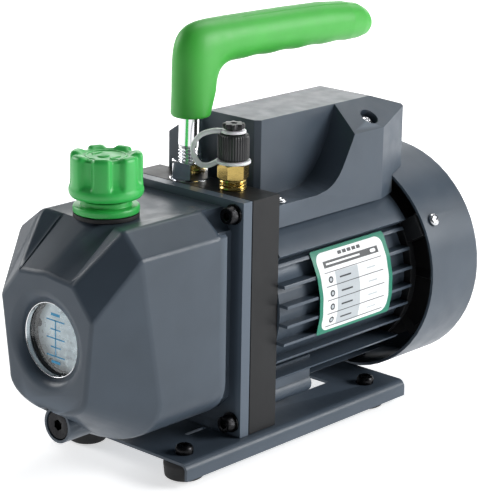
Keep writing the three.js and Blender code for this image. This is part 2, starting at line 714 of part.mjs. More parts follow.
function coolingFan() {
  const hub = alongY(rod(14, 146, 163, 32));
  const blades = [];
  for (let i = 0; i < 8; i++) {
    const blade = box([12, -8.5, -1], [53, 8.5, 1]).rotateX(THREE.MathUtils.degToRad(55));
    blades.push(blade.translate(0, 155, 0).rotateY((TURN * i) / 8));
  }
  const backing = alongY(rod(50, 152, 153.6, 40));
  return cut(join(hub, backing, ...blades), alongY(rod(5.1, 140, 170, 24)));
}

add("motor_housing", motorHousing(), FINISH.slate, AXIS_PLACE);
add("stator_core", alongY(ring(31, HOUSING.bore - GAP, STATOR.front, STATOR.rear, 32)),
  FINISH.iron, AXIS_PLACE);
add("stator_windings", windings(), FINISH.copper, AXIS_PLACE);
add("motor_rotor", alongY(ring(7.1, 22.2, 48, 107)), FINISH.iron, AXIS_PLACE);
add("motor_shaft", motorShaft(), FINISH.steel, AXIS_PLACE);
add("front_bearing", alongY(ring(FRONT_BEARING.inner, FRONT_BEARING.outer, FRONT_BEARING.from,
  FRONT_BEARING.to)), FINISH.steel, AXIS_PLACE);
add("rear_bearing", alongY(ring(7.1, REAR_BEARING.outer, REAR_BEARING.from, REAR_BEARING.to)),
  FINISH.steel, AXIS_PLACE);
add("rear_end_shield", rearEndShield(), FINISH.blackMetal, AXIS_PLACE);
add("cooling_fan", coolingFan(), FINISH.blackPlastic, AXIS_PLACE);

// ---------------------------------------------------------------- fan cover

// A slot of the rear grille: part of a ring, as a tool for cutting.
function grilleSlot(radius, width, from, to) {
  const slot = new THREE.Shape();
  slot.absarc(0, 0, radius + width / 2, from, to, false);
  slot.absarc(0, 0, radius - width / 2, to, from, true);
  return prismY(slot, COVER.rear - 5, COVER.rear + 5, 3);
}

function fanCover() {
  const { radius, front, rear, sheet, screwY } = COVER;
  const wall = [[radius - sheet, front], [radius, front], [radius, rear - 2.2], [radius - 0.6, rear - 0.7],
    [radius - 2.2, rear], [0, rear]];
  const inside = [[0, rear - sheet], [radius - 2.8, rear - sheet], [radius - sheet, rear - 2.8]];
  const drum = alongY(turned([...wall, ...inside, wall[0]], 56));
  const slots = [];
  for (const [slotRadius, count] of [[18, 4], [28, 6], [38, 8], [48, 10]]) {
    for (let i = 0; i < count; i++) {
      const middle = (TURN * (i + 0.5)) / count;
      const reach = Math.PI / count - 3.5 / slotRadius;
      slots.push(grilleSlot(slotRadius, 4.6, middle - reach, middle + reach));
    }
  }
  const holes = COVER_SCREW_ANGLES.map((degrees) =>
    toSolid(alongX(rod(2.4, 55, 65, 16)).translate(0, screwY, 0)).rotate([0, -degrees, 0]));
  return cut(drum, ...slots, ...holes);
}

function coverScrew() {
  const seat = COVER.radius + GAP;
  return alongX(turned([[0, 52], [1.7, 52], [1.7, seat], [3.5, seat], [3.5, seat + 0.9], [2.2, seat + 2],
    [0, seat + 2]], 24));
}

add("fan_cover", fanCover(), FINISH.slate, AXIS_PLACE);
COVER_SCREW_ANGLES.forEach((degrees, i) => {
  const screw = add(`fan_cover_screw_${i + 1}`, coverScrew(), FINISH.steel, [0, COVER.screwY, AXIS_Z]);
  screw.rotation.y = -THREE.MathUtils.degToRad(degrees);
});

// ---------------------------------------------------------------- terminal box

const SLOPE = Math.atan2(BOX.top - BOX.slopeEnd, BOX.half - BOX.flat);

// The box's full section in X and Z.
const BOX_SECTION = [[-BOX.flat, BOX.top], [BOX.flat, BOX.top], [BOX.half, BOX.slopeEnd],
  [BOX.half, BOX.bottom], [-BOX.half, BOX.bottom], [-BOX.half, BOX.slopeEnd]];

// The hollow in the box's +X side, which sweeps up towards the rear.
function boxRecess() {
  const side = (x, sweep) => {
    const points = sweep.map(([y, z]) => new THREE.Vector2(y, z));
    const curve = new THREE.SplineCurve(points).getPoints(13);
    return [[x, 10, 175], [x, 10, 125.4], ...curve.map(({ x: y, y: z }) => [x, y, z])];
  };
  const floor = [[67, 125.4], [76.5, 129.5], [84.5, 138], [90, 147.5], [95, 162], [99, 175]];
  const rim = [[62, 125.4], [72, 127.4], [80, 133.4], [87, 145], [92.5, 156], [98, 175]];
  return loft([side(BOX.flat + 0.2, floor), side(BOX.half + 0.2, rim), side(60, rim)]);
}

// The sloping rear of the top, drawn in Y and Z and cut right across.
function boxRearSlope() {
  const { topRear, rear } = BOX_Y;
  const drop = (BOX.top - BOX.rearTop) / (rear - topRear);
  const reach = 40;
  const outline = [[topRear, BOX.top], [topRear, BOX.top + reach], [topRear + reach, BOX.top + reach],
    [topRear + reach, BOX.top - drop * reach]];
  return prism(outline, 100).rotateX(Math.PI / 2).rotateZ(Math.PI / 2).translate(-50, 0, 0);
}

const PIT = { radius: 5.2, depth: 4, hole: 1.8, holeDepth: 12 };
const PIT_PLACES = [
  { name: "rear_right", place: [28.4, 111.7, 157.6] },
  { name: "rear_left", place: [-28.4, 111.7, 157.6] },
];
const LEDGE_SCREW = [31.5, 38.5, 125.4];

function terminalBox() {
  const { top, flat, half, slopeEnd, bottom, wall } = BOX;
  const { shoulder, front, topRear, sideRear, rear } = BOX_Y;
  const body = prismY(BOX_SECTION, shoulder, rear);
  const frontStep = box([-24, 0, 125.4], [60, front, 180]);
  const cornerOutline = [
    [flat - 3.4, front - 1], [60, front - 1], [60, front + 2.6], [flat + 0.2, front + 2.6],
  ];
  const cornerCut = prism(cornerOutline, 60).translate(0, 0, 125.4);
  const rearCorners = [1, -1].map((side) => prism([[side * half, sideRear], [side * 27, rear + 0.2],
    [side * 60, rear + 0.2], [side * 60, sideRear]], 100).translate(0, 0, 80));
  const motorRoom = alongY(rod(HOUSING.shell + GAP, 0, 140, 72)).translate(0, 0, AXIS_Z);
  const coverRoom = alongY(rod(COVER.radius + GAP, COVER.front - GAP, 180, 72)).translate(0, 0, AXIS_Z);
  const mainRoom = box([-half + wall, front + wall, 90], [flat - wall, 103, top - 3]);
  const socketRoom = box([-half + wall, 100, 90], [flat - wall, 112, 145]);
  const roof = prismY([[-half, slopeEnd - 4], [-flat, top - 4], [flat, top - 4], [half, slopeEnd - 4],
    [half, 60], [-half, 60]], 0, 200);
  const openings = [
    box([-60, SOCKET.y - 13.8, SOCKET.z - 10.2], [-30, SOCKET.y + 13.8, SOCKET.z + 10.2]),
    box([-60, SWITCH.y - 9.8, SWITCH.z - 6.8], [-30, SWITCH.y + 9.8, SWITCH.z + 6.8]),
    box([-60, 0, 90], [60, 200, bottom]),
  ];
  const pitTool = () => join(rod(PIT.radius, -PIT.depth, 10, 20), rod(PIT.hole, -PIT.holeDepth, 0, 12));
  const pits = PIT_PLACES.map(({ place: [x, y, z] }) =>
    pitTool().rotate([0, Math.sign(x) * THREE.MathUtils.radToDeg(SLOPE), 0]).translate([x, y, z]));
  const ledgeHole = rod(PIT.hole, -8, 1, 12).translate(...LEDGE_SCREW);
  return cut(body, frontStep, cornerCut, boxRearSlope(), ...rearCorners, motorRoom, coverRoom,
    boxRecess(), overlap(join(mainRoom, socketRoom), roof), ...openings, ...pits, ledgeHole);
}

// A small pan-head screw, made pointing up, with its head's underside at 0.
function smallScrew() {
  return turned([[0, -6], [1.5, -6], [1.5, 0], [3.4, 0], [3.4, 0.9], [2.2, 1.9], [0, 1.9]], 20);
}

add("terminal_box", terminalBox(), FINISH.slate);
for (const { name, place: [x, y, z] } of PIT_PLACES) {
  const tilt = Math.sign(x) * SLOPE;
  const seat = PIT.depth - GAP;
  const place = [x - seat * Math.sin(tilt), y, z - seat * Math.cos(tilt)];
  add(`box_screw_${name}`, smallScrew(), FINISH.steel, place).rotation.y = tilt;
}
add("box_screw_front", smallScrew().translate(0, 0, GAP), FINISH.steel, LEDGE_SCREW);

// ---------------------------------------------------------------- power inlet and switch

function powerInlet() {
  const x = -BOX.half;
  const flange = box([x - 2.2, -16, -12.5], [x - GAP, 16, 12.5]);
  const body = box([x - 1, -13.5, -10], [x + 20, 13.5, 10]);
  const socket = box([x - 5, -12, -7.8], [x + 16, 12, 7.8]);
  const blades = [[-7, -0.8], [7, -0.8], [0, 3.4]].map(([y, z]) =>
    box([x + 0.5, y - 1, z - 2], [x + 17, y + 1, z + 2]));
  return join(cut(join(flange, body), socket), ...blades);
}

function switchBezel() {
  const x = -BOX.half;
  const flange = box([x - 2, -11.5, -8.5], [x - GAP, 11.5, 8.5]);
  const body = box([x - 1, -9.6, -6.6], [x + 16, 9.6, 6.6]);
  return cut(join(flange, body), box([x - 5, -8.2, -5.4], [x + 12, 8.2, 5.4]));
}

// The rocker is made about its pivot, with its face towards -X: a shallow V, proud at both ends.
function switchRocker() {
  const half = 7.2;
  const outline = [[-half, -5.9], [0, -4.2], [half, -5.9], [half - 1.6, 3.6], [-half + 1.6, 3.6]];
  return prism(outline.map(([along, depth]) => [depth, along]), 10.2).translate(0, 0, -5.1);
}

const SWITCH_PLACE = [0, SWITCH.y, SWITCH.z];
const ROCKER_TILT = THREE.MathUtils.degToRad(9);
add("power_inlet", powerInlet(), FINISH.blackPlastic, [0, SOCKET.y, SOCKET.z]);
add("switch_bezel", switchBezel(), FINISH.blackPlastic, SWITCH_PLACE);
const ROCKER_PLACE = [-BOX.half + 3.5, SWITCH.y, SWITCH.z];
const rocker = add("switch_rocker", switchRocker(), FINISH.blackPlastic, ROCKER_PLACE);
rocker.rotation.z = ROCKER_TILT;

add("run_capacitor", alongY(rod(12, 52, 92, 32)), FINISH.blackPlastic, [2, 0, 143]);

// ---------------------------------------------------------------- rating label

function ratingLabel() {
  const arc = new THREE.Shape();
  const from = THREE.MathUtils.degToRad(-18);
  const to = THREE.MathUtils.degToRad(34.5);
  arc.absarc(0, 0, HOUSING.fin + 0.8, from, to, false);
  arc.absarc(0, 0, HOUSING.fin + 0.2, to, from, true);
  return prismY(arc, 51, 110, 16);
}

add("rating_label", ratingLabel(), FINISH.label, AXIS_PLACE);

// ---------------------------------------------------------------- place on the origin

pump.position.set(0, -(TANK_FACE + COVER.rear) / 2, -FOOT.floor);
const part = new THREE.Group();
part.add(pump);

export default part;
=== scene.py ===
"""The looks of a portable rotary vane vacuum pump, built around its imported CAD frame.

Lengths in this script are millimetres in the pump's own frame, as the CAD uses them while its
pieces are made: Y = 0 is the front of the oil tank's flange. place() turns them into metres in
the row frame. Every piece either replaces a CAD node with a finer mesh or adds small trim to it.
"""

import json
import math

import bmesh
import bpy
from mathutils import Matrix, Vector

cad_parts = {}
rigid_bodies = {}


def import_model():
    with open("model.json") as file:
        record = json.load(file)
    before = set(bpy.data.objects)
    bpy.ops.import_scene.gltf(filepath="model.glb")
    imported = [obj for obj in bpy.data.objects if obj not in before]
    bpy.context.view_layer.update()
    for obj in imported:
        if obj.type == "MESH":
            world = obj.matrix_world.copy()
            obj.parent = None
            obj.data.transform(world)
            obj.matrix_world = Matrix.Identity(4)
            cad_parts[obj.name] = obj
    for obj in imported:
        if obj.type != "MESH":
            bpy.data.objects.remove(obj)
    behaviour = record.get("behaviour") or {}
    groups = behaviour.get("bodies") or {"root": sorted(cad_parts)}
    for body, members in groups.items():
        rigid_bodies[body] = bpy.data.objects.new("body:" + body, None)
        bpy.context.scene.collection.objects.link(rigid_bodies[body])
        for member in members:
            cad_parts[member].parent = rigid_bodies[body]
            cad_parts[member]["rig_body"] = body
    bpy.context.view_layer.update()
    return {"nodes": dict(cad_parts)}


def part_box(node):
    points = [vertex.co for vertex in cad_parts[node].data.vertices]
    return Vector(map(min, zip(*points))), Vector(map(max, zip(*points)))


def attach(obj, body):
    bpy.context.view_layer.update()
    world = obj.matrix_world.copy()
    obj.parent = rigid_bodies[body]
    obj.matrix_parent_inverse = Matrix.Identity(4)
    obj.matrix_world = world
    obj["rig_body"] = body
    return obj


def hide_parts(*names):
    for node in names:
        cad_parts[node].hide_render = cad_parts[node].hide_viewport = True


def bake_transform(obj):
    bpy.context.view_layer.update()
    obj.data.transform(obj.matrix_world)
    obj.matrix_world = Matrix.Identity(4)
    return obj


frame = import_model()

MM = 0.001
TURN = 2 * math.pi

AXIS_Z = 70  # height of the shaft
COVER_REAR = 171.3  # the fan cover's end, behind the flange
FEET_BELOW = 1.2  # how far the feet reach below the height that the CAD counts from
CENTRE = 0.001  # a radius small enough to close a turned body on its axis

# The row frame's origin is on the floor under the middle of the pump.
SHIFT = Vector((0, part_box("fan_cover")[1].y - COVER_REAR * MM, FEET_BELOW * MM))


def place(x, y, z):
    return Vector((x, y, z)) * MM + SHIFT


# ---------------------------------------------------------------- materials


class Surface:
    """A procedural material: a Principled shader with a few helpers to feed its sockets."""

    def __init__(self, name):
        self.material = bpy.data.materials.new(name)
        self.material.use_nodes = True
        self.tree = self.material.node_tree
        self.shader = self.tree.nodes["Principled BSDF"]
        self.coordinates = self.node("ShaderNodeTexCoord").outputs["Object"]

    def node(self, kind, **settings):
        made = self.tree.nodes.new(kind)
        for key, value in settings.items():
            setattr(made, key, value)
        return made

    def link(self, output, target):
        self.tree.links.new(output, target)

    def set(self, **sockets):
        for name, value in sockets.items():
            self.shader.inputs[name.replace("_", " ")].default_value = value
        return self

    def noise(self, scale, detail=3, stretch=(1, 1, 1)):
        mapping = self.node("ShaderNodeMapping")
        mapping.inputs["Scale"].default_value = stretch
        self.link(self.coordinates, mapping.inputs["Vector"])
        noise = self.node("ShaderNodeTexNoise")
        noise.inputs["Scale"].default_value = scale
        noise.inputs["Detail"].default_value = detail
        self.link(mapping.outputs["Vector"], noise.inputs["Vector"])
        return noise.outputs["Fac"]

    def spread(self, value, low, high, out_low, out_high):
        remap = self.node("ShaderNodeMapRange")
        for socket, number in zip(("From Min", "From Max", "To Min", "To Max"),
                                  (low, high, out_low, out_high)):
            remap.inputs[socket].default_value = number
        self.link(value, remap.inputs["Value"])
        return remap.outputs["Result"]

    def mix(self, factor, first, second):
        mixer = self.node("ShaderNodeMix", data_type="RGBA")
        self.link(factor, mixer.inputs["Factor"])
        for socket, colour in zip((mixer.inputs[6], mixer.inputs[7]), (first, second)):
            if hasattr(colour, "is_linked"):
                self.link(colour, socket)
            else:
                socket.default_value = (*colour, 1)
        return mixer.outputs[2]

    def edges(self, low, high):
        """1 along convex edges, 0 on open faces."""
        pointiness = self.node("ShaderNodeNewGeometry").outputs["Pointiness"]
        return self.spread(pointiness, low, high, 0, 1)

    def bump(self, height, strength, distance, below=None):
        bump = self.node("ShaderNodeBump")
        bump.inputs["Strength"].default_value = strength
        bump.inputs["Distance"].default_value = distance * MM
        self.link(height, bump.inputs["Height"])
        if below is not None:
            self.link(below, bump.inputs["Normal"])
        return bump.outputs["Normal"]

    def finish(self, colour=None, roughness=None, normal=None):
        for output, name in ((colour, "Base Color"), (roughness, "Roughness"), (normal, "Normal")):
            if output is not None:
                self.link(output, self.shader.inputs[name])
        return self.material


def painted(name, colour, roughness, peel=1.0, wear=0.35, specular=0.34):
    """Powder coat: orange peel, faint clouding, and paint that thins and lightens on edges."""
    surface = Surface(name).set(Specular_IOR_Level=specular, Coat_Weight=0.05, Coat_Roughness=0.3)
    cloud = surface.noise(35, 4)
    fine = surface.noise(900, 2)
    light = tuple(min(1, c * 1.1) for c in colour)
    dark = tuple(c * 0.9 for c in colour)
    body = surface.mix(surface.spread(cloud, 0.3, 0.7, 0, 1), dark, light)
    worn = tuple(min(1, c * (1 + 1.6 * wear) + 0.01) for c in colour)
    rim = surface.edges(0.53, 0.62)
    tone = surface.mix(rim, body, worn)
    gloss = surface.spread(surface.noise(120, 3), 0.3, 0.7, roughness - 0.05, roughness + 0.06)
    return surface.finish(tone, gloss, surface.bump(fine, 0.18 * peel, 0.06))


def moulded(name, colour, roughness, grain=1500, depth=0.03, soft=0.0, tone=0.06):
    """Moulded plastic or rubber: a fine spark-eroded texture and a slight drift in colour."""
    surface = Surface(name).set(Specular_IOR_Level=0.5)
    if soft:
        surface.set(Subsurface_Weight=soft, Subsurface_Scale=0.002)
        surface.shader.inputs["Subsurface Radius"].default_value = (0.4, 1.0, 0.4)
    cloud = surface.spread(surface.noise(45, 4), 0.3, 0.7, 0, 1)
    shade = surface.mix(cloud, tuple(c * (1 - tone) for c in colour),
                        tuple(min(1, c * (1 + tone)) for c in colour))
    gloss = surface.spread(surface.noise(200, 3), 0.3, 0.7, roughness - 0.05, roughness + 0.05)
    return surface.finish(shade, gloss, surface.bump(surface.noise(grain, 2), 0.25, depth))


def metal(name, colour, roughness, stretch=(1, 1, 1), lines=900, depth=0.01, tarnish=0.1):
    """Bare or plated metal with machining lines along the direction that stretch squeezes."""
    surface = Surface(name).set(Metallic=1.0)
    cloud = surface.spread(surface.noise(90, 5), 0.35, 0.7, 0, 1)
    shade = surface.mix(cloud, colour, tuple(c * (1 - tarnish) for c in colour))
    marks = surface.noise(lines, 3, stretch)
    gloss = surface.spread(marks, 0.3, 0.7, roughness * 0.7, roughness * 1.4)
    return surface.finish(shade, gloss, surface.bump(marks, 0.15, depth))


def printed(name, colour, roughness=0.35):
    """Ink or film: nearly even, with the faint mottle of print."""
    surface = Surface(name).set(Specular_IOR_Level=0.3, Coat_Weight=0.06, Coat_Roughness=0.2)
    mottle = surface.spread(surface.noise(1800, 2), 0.35, 0.65, 0, 1)
    shade = surface.mix(mottle, colour, tuple(c * 0.93 for c in colour))
    gloss = surface.spread(surface.noise(60, 3), 0.3, 0.7, roughness - 0.05, roughness + 0.08)
    return surface.finish(shade, gloss)


def clear_glass():
    surface = Surface("sight_glass").set(Transmission_Weight=1.0, IOR=1.47,
                                         Base_Color=(0.93, 0.985, 1.0, 1))
    smears = surface.spread(surface.noise(60, 4), 0.4, 0.75, 0.01, 0.05)
    return surface.finish(roughness=smears)


SLATE = painted("slate_powder_coat", (0.052, 0.07, 0.093), 0.38)
BLACK_PLATE = painted("black_plate_coat", (0.007, 0.0075, 0.0085), 0.42, 0.6, 0.5,
                      specular=0.2)
BLACK_OXIDE = metal("black_oxide", (0.028, 0.028, 0.03), 0.3, lines=500, tarnish=0.4)
GREEN = moulded("green_plastic", (0.035, 0.47, 0.085), 0.36, soft=0.08)
GREEN_GRIP = moulded("green_soft_grip", (0.055, 0.43, 0.05), 0.46, 1100, 0.05, soft=0.1)
CHROME = metal("chrome", (0.9, 0.91, 0.93), 0.09, (1, 1, 0.1), tarnish=0.05)
ZINC = metal("zinc_plate", (0.66, 0.67, 0.69), 0.22, tarnish=0.2)
BRASS = metal("brass", (0.55, 0.4, 0.13), 0.2, (1, 1, 8), 400, tarnish=0.18)
RUBBER = moulded("black_rubber", (0.014, 0.014, 0.015), 0.7, 900, 0.06)
BLACK = moulded("black_plastic", (0.017, 0.017, 0.019), 0.42, 1300, 0.05)
WHITE = moulded("white_plastic", (0.82, 0.83, 0.84), 0.38, soft=0.1, tone=0.02)
GLASS = clear_glass()
REFLECTOR = metal("sight_glass_foil", (0.92, 0.97, 1.0), 0.3, lines=260, depth=0.25,
                  tarnish=0.12)
REFLECTOR.node_tree.nodes["Principled BSDF"].inputs["Metallic"].default_value = 0.25
SCALE_INK = printed("scale_ink", (0.03, 0.3, 0.55))
IRON = metal("ground_iron", (0.3, 0.3, 0.31), 0.4, (1, 0.05, 1), 500)
LAMINATIONS = metal("laminations", (0.16, 0.16, 0.17), 0.5, (0.02, 1, 0.02), 2500, 0.05)
COPPER = metal("varnished_copper", (0.62, 0.24, 0.1), 0.35, (1, 0.05, 1), 900, 0.15)
COMPOSITE = moulded("vane_composite", (0.05, 0.038, 0.03), 0.5)
FILM_GREEN = printed("label_green", (0.006, 0.21, 0.13))
FILM_WHITE = printed("label_white", (0.88, 0.9, 0.91))
FILM_GREY = printed("label_grey", (0.5, 0.54, 0.57))
FILM_DARK = printed("label_dark", (0.03, 0.035, 0.04))


# ---------------------------------------------------------------- meshes


def new_object(name, mesh, material, smooth_angle=35):
    mesh.materials.clear()
    mesh.materials.append(material)
    mesh.polygons.foreach_set("use_smooth", [True] * len(mesh.polygons))
    mesh.set_sharp_from_angle(angle=math.radians(smooth_angle))
    piece = bpy.data.objects.new(name, mesh)
    bpy.context.scene.collection.objects.link(piece)
    return piece


def piece(name, parts, material, body="pump_body", stands_for=(), smooth_angle=35):
    """A mesh from closed parts, each a list of points in pump millimetres and a list of faces."""
    points, faces = [], []
    for part_points, part_faces in parts:
        base = len(points)
        points += [place(*p) for p in part_points]
        faces += [[base + i for i in face] for face in part_faces]
    mesh = bpy.data.meshes.new(name)
    mesh.from_pydata(points, [], faces)
    work = bmesh.new()
    work.from_mesh(mesh)
    bmesh.ops.remove_doubles(work, verts=work.verts, dist=1e-7)
    bmesh.ops.recalc_face_normals(work, faces=work.faces)
    work.to_mesh(mesh)
    work.free()
    made = new_object(name, mesh, material, smooth_angle)
    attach(made, body)
    if stands_for:
        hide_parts(*stands_for)
    return made


def moved(part, matrix):
    points, faces = part
    return [tuple(matrix @ Vector(p)) for p in points], faces


def at(x, y, z):
    return Matrix.Translation((x, y, z))


TO_FRONT = Matrix.Rotation(math.radians(90), 4, "X")  # lays +Z along -Y
TO_SIDE = Matrix.Rotation(math.radians(90), 4, "Y")  # lays +Z along +X


def lofted(rings, closed=False):
    """Quads between rings of equal length. The two ends are capped unless the loft is closed."""
    count = len(rings[0])
    points = [p for ring in rings for p in ring]
    faces = []
    last = len(rings) if closed else len(rings) - 1
    for r in range(last):
        for i in range(count):
            a = r * count + i
            b = r * count + (i + 1) % count
            above = ((r + 1) % len(rings) - r) * count
            faces.append((a, b, b + above, a + above))
    if not closed:
        faces.append(tuple(range(count))[::-1])
        faces.append(tuple((len(rings) - 1) * count + i for i in range(count)))
    return points, faces


def polar(profile, steps=96):
    """A body about +Z. profile is a list of (radius, height); either may be a function of the
    angle. A first and last radius near zero close it."""
    rings = []
    for radius, height in profile:
        ring = []
        for i in range(steps):
            angle = TURN * i / steps
            r = radius(angle) if callable(radius) else radius
            z = height(angle) if callable(height) else height
            ring.append((r * math.cos(angle), r * math.sin(angle), z))
        rings.append(ring)
    return lofted(rings)


def rounded(profile, radius, steps=4):
    """The same (radius, height) profile with every inner corner rounded off."""
    points = [Vector(p) for p in profile]
    out = [tuple(points[0])]
    for before, corner, after in zip(points, points[1:], points[2:]):
        reach = min(radius, (before - corner).length / 2.05, (after - corner).length / 2.05)
        start = corner + (before - corner).normalized() * reach
        end = corner + (after - corner).normalized() * reach
        for k in range(steps + 1):
            t = k / steps
            out.append(tuple(start * (1 - t) ** 2 + corner * 2 * t * (1 - t) + end * t * t))
    return out + [tuple(points[-1])]


def hex_radius(across_flats, turn=0.0):
    def radius(angle):
        off = (angle - turn + TURN / 12) % (TURN / 6) - TURN / 12
        return across_flats / 2 / math.cos(off)
    return radius


def hexagon(across_flats, low, high, bore=0.0, turn=0.0, steps=96):
    """A hexagon with the curved chamfers that turning leaves on its two ends."""
    outer = hex_radius(across_flats, turn)
    circle = across_flats / 2 * 0.985

    def drop(angle):
        return (outer(angle) - circle) * 0.55

    inner = bore if bore else CENTRE
    walls = [(inner, low), (circle, low), (outer, lambda a: low + drop(a)),
             (outer, lambda a: high - drop(a)), (circle, high), (inner, high)]
    if not bore:
        return polar(walls, steps)
    return hollow(walls, steps)


def hollow(profile, steps=96):
    """A ring-shaped body: the profile is a closed loop of (radius, height)."""
    points, faces = polar(profile, steps)
    faces = faces[:-2]
    count = len(profile)
    for i in range(steps):
        j = (i + 1) % steps
        faces.append(((count - 1) * steps + i, (count - 1) * steps + j, j, i))
    return points, faces


def thread(radius, pitch, low, high, depth, steps=48):
    """A rod whose surface is a real helix."""
    levels = max(2, round((high - low) / pitch * 6))
    rings = []
    for level in range(levels + 1):
        z = low + (high - low) * level / levels
        fade = min(1, (z - low) / pitch, (high - z) / pitch)
        ring = []
        for i in range(steps):
            phase = ((z - low) / pitch - i / steps) % 1
            cut = depth * fade * (0.5 + 0.5 * math.cos(TURN * phase))
            angle = TURN * i / steps
            ring.append(((radius - cut) * math.cos(angle), (radius - cut) * math.sin(angle), z))
        rings.append(ring)
    return lofted(rings)


def swept(path, section, side=Vector((1, 0, 0))):
    """A closed sweep of a section, a list of (along side, across side), along a list of points."""
    rings = []
    for i, point in enumerate(path):
        before, after = path[max(0, i - 1)], path[min(len(path) - 1, i + 1)]
        tangent = (after - before).normalized()
        over = tangent.cross(side).normalized()
        rings.append([tuple(point + side * a + over * b) for a, b in section])
    return lofted(rings)


def spline(points, steps):
    """Points evenly along a smooth curve through the given ones."""
    knots = [Vector(p) for p in points]
    knots = [2 * knots[0] - knots[1], *knots, 2 * knots[-1] - knots[-2]]
    dense = []
    for a, b, c, d in zip(knots, knots[1:], knots[2:], knots[3:]):
        for k in range(24):
            t = k / 24
            dense.append(0.5 * (2 * b + (c - a) * t + (2 * a - 5 * b + 4 * c - d) * t * t
                                + (3 * b - a - 3 * c + d) * t ** 3))
    dense.append(knots[-2])
    lengths = [0]
    for p, q in zip(dense, dense[1:]):
        lengths.append(lengths[-1] + (q - p).length)
    out, j = [], 0
    for k in range(steps + 1):
        goal = lengths[-1] * k / steps
        while j < len(dense) - 2 and lengths[j + 1] < goal:
            j += 1
        share = (goal - lengths[j]) / max(1e-9, lengths[j + 1] - lengths[j])
        out.append(dense[j].lerp(dense[j + 1], min(1, share)))
    return out


def clean_copy(node):
    """The CAD node's mesh as a new one, welded, with its flat faces whole again."""
    work = bmesh.new()
    work.from_mesh(frame["nodes"][node].data)
    bmesh.ops.remove_doubles(work, verts=work.verts, dist=2e-6)
    bmesh.ops.dissolve_limit(work, angle_limit=math.radians(0.7), verts=work.verts,
                             edges=work.edges)
    mesh = bpy.data.meshes.new(node)
    work.to_mesh(mesh)
    work.free()
    return mesh


def bevelled(node, material, width, segments=2, smooth_angle=35):
    """The CAD node with its sharp edges rounded."""
    body = frame["nodes"][node]["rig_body"]
    made = new_object(f"{node}_finished", clean_copy(node), material, smooth_angle)
    bevel = made.modifiers.new("edges", "BEVEL")
    bevel.width = width * MM
    bevel.segments = segments
    bevel.limit_method = "ANGLE"
    bevel.angle_limit = math.radians(28)
    made.modifiers.new("normals", "WEIGHTED_NORMAL").keep_sharp = True
    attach(made, body)
    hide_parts(node)
    return made


def paint(node, material):
    """Gives a CAD node that needs no other change its finish."""
    data = frame["nodes"][node].data
    data.materials.clear()
    data.materials.append(material)


# ---------------------------------------------------------------- camera, lights, floor


def camera():
    """The photograph's view: a long lens from the front right, a little above."""
    azimuth, elevation, roll = (math.radians(a) for a in (42.496, 16.576, 0.917))
    back = Vector((math.sin(azimuth) * math.cos(elevation),
                   -math.cos(azimuth) * math.cos(elevation), math.sin(elevation)))
    level = Vector((math.cos(azimuth), math.sin(azimuth), 0))
    upward = back.cross(level)
    right = level * math.cos(roll) + upward * math.sin(roll)
    up = upward * math.cos(roll) - level * math.sin(roll)
    lens = bpy.data.cameras.new("camera")
    lens.lens = 146.0376
    lens.sensor_width = 36
    lens.shift_x = 0.00334
    lens.shift_y = 0.00106
    lens.clip_start = 0.01
    made = bpy.data.objects.new("camera", lens)
    bpy.context.scene.collection.objects.link(made)
    turn = Matrix((right, up, back)).transposed().to_4x4()
    made.matrix_world = Matrix.Translation(place(684.8, -705.0, 394.1)) @ turn
    bpy.context.scene.camera = made


def softbox(name, position, aim, size, watts, colour=(1, 1, 1)):
    light = bpy.data.lights.new(name, "AREA")
    light.shape = "RECTANGLE"
    light.size, light.size_y = size
    light.energy = watts
    light.color = colour
    made = bpy.data.objects.new(name, light)
    bpy.context.scene.collection.objects.link(made)
    made.location = position
    made.rotation_euler = (Vector(aim) - Vector(position)).to_track_quat("-Z", "Y").to_euler()


def studio():
    world = bpy.data.worlds.new("studio")
    world.use_nodes = True
    world.node_tree.nodes["Background"].inputs["Color"].default_value = (0.88, 0.94, 1.0, 1)
    world.node_tree.nodes["Background"].inputs["Strength"].default_value = 0.11
    bpy.context.scene.world = world
    aim = (0, 0, 0.09)
    softbox("side_right", (1.3, 1.0, 0.75), aim, (0.9, 0.9), 27)
    softbox("front_left", (-1.55, -0.5, 0.75), aim, (0.7, 0.8), 13)
    softbox("back_sheet", (-1.1, 1.25, 0.5), aim, (2.0, 0.7), 12)
    softbox("overhead", (-0.2, 0.9, 1.4), aim, (0.9, 0.9), 9)
    bpy.context.scene.view_settings.view_transform = "Standard"
    surface = Surface("floor_paper").set(Specular_IOR_Level=0.2, Roughness=0.8)
    fibre = surface.spread(surface.noise(300, 3), 0.3, 0.7, 0, 1)
    tone = surface.mix(fibre, (0.9, 0.9, 0.9), (0.93, 0.93, 0.93))
    paper = surface.finish(tone)
    surface.set(Emission_Color=(1, 1, 1, 1), Emission_Strength=0.58)
    half, depth = 6.0, -0.0002
    mesh = bpy.data.meshes.new("floor")
    mesh.from_pydata([(-half, -half, depth), (half, -half, depth), (half, half, depth),
                      (-half, half, depth)], [], [(0, 1, 2, 3)])
    floor = new_object("floor", mesh, paper)


camera()
studio()


# ---------------------------------------------------------------- oil tank and its fittings

SIGHT_Z = 75
DRAIN_Z = 30.5
FILLER = (0, -52.4)


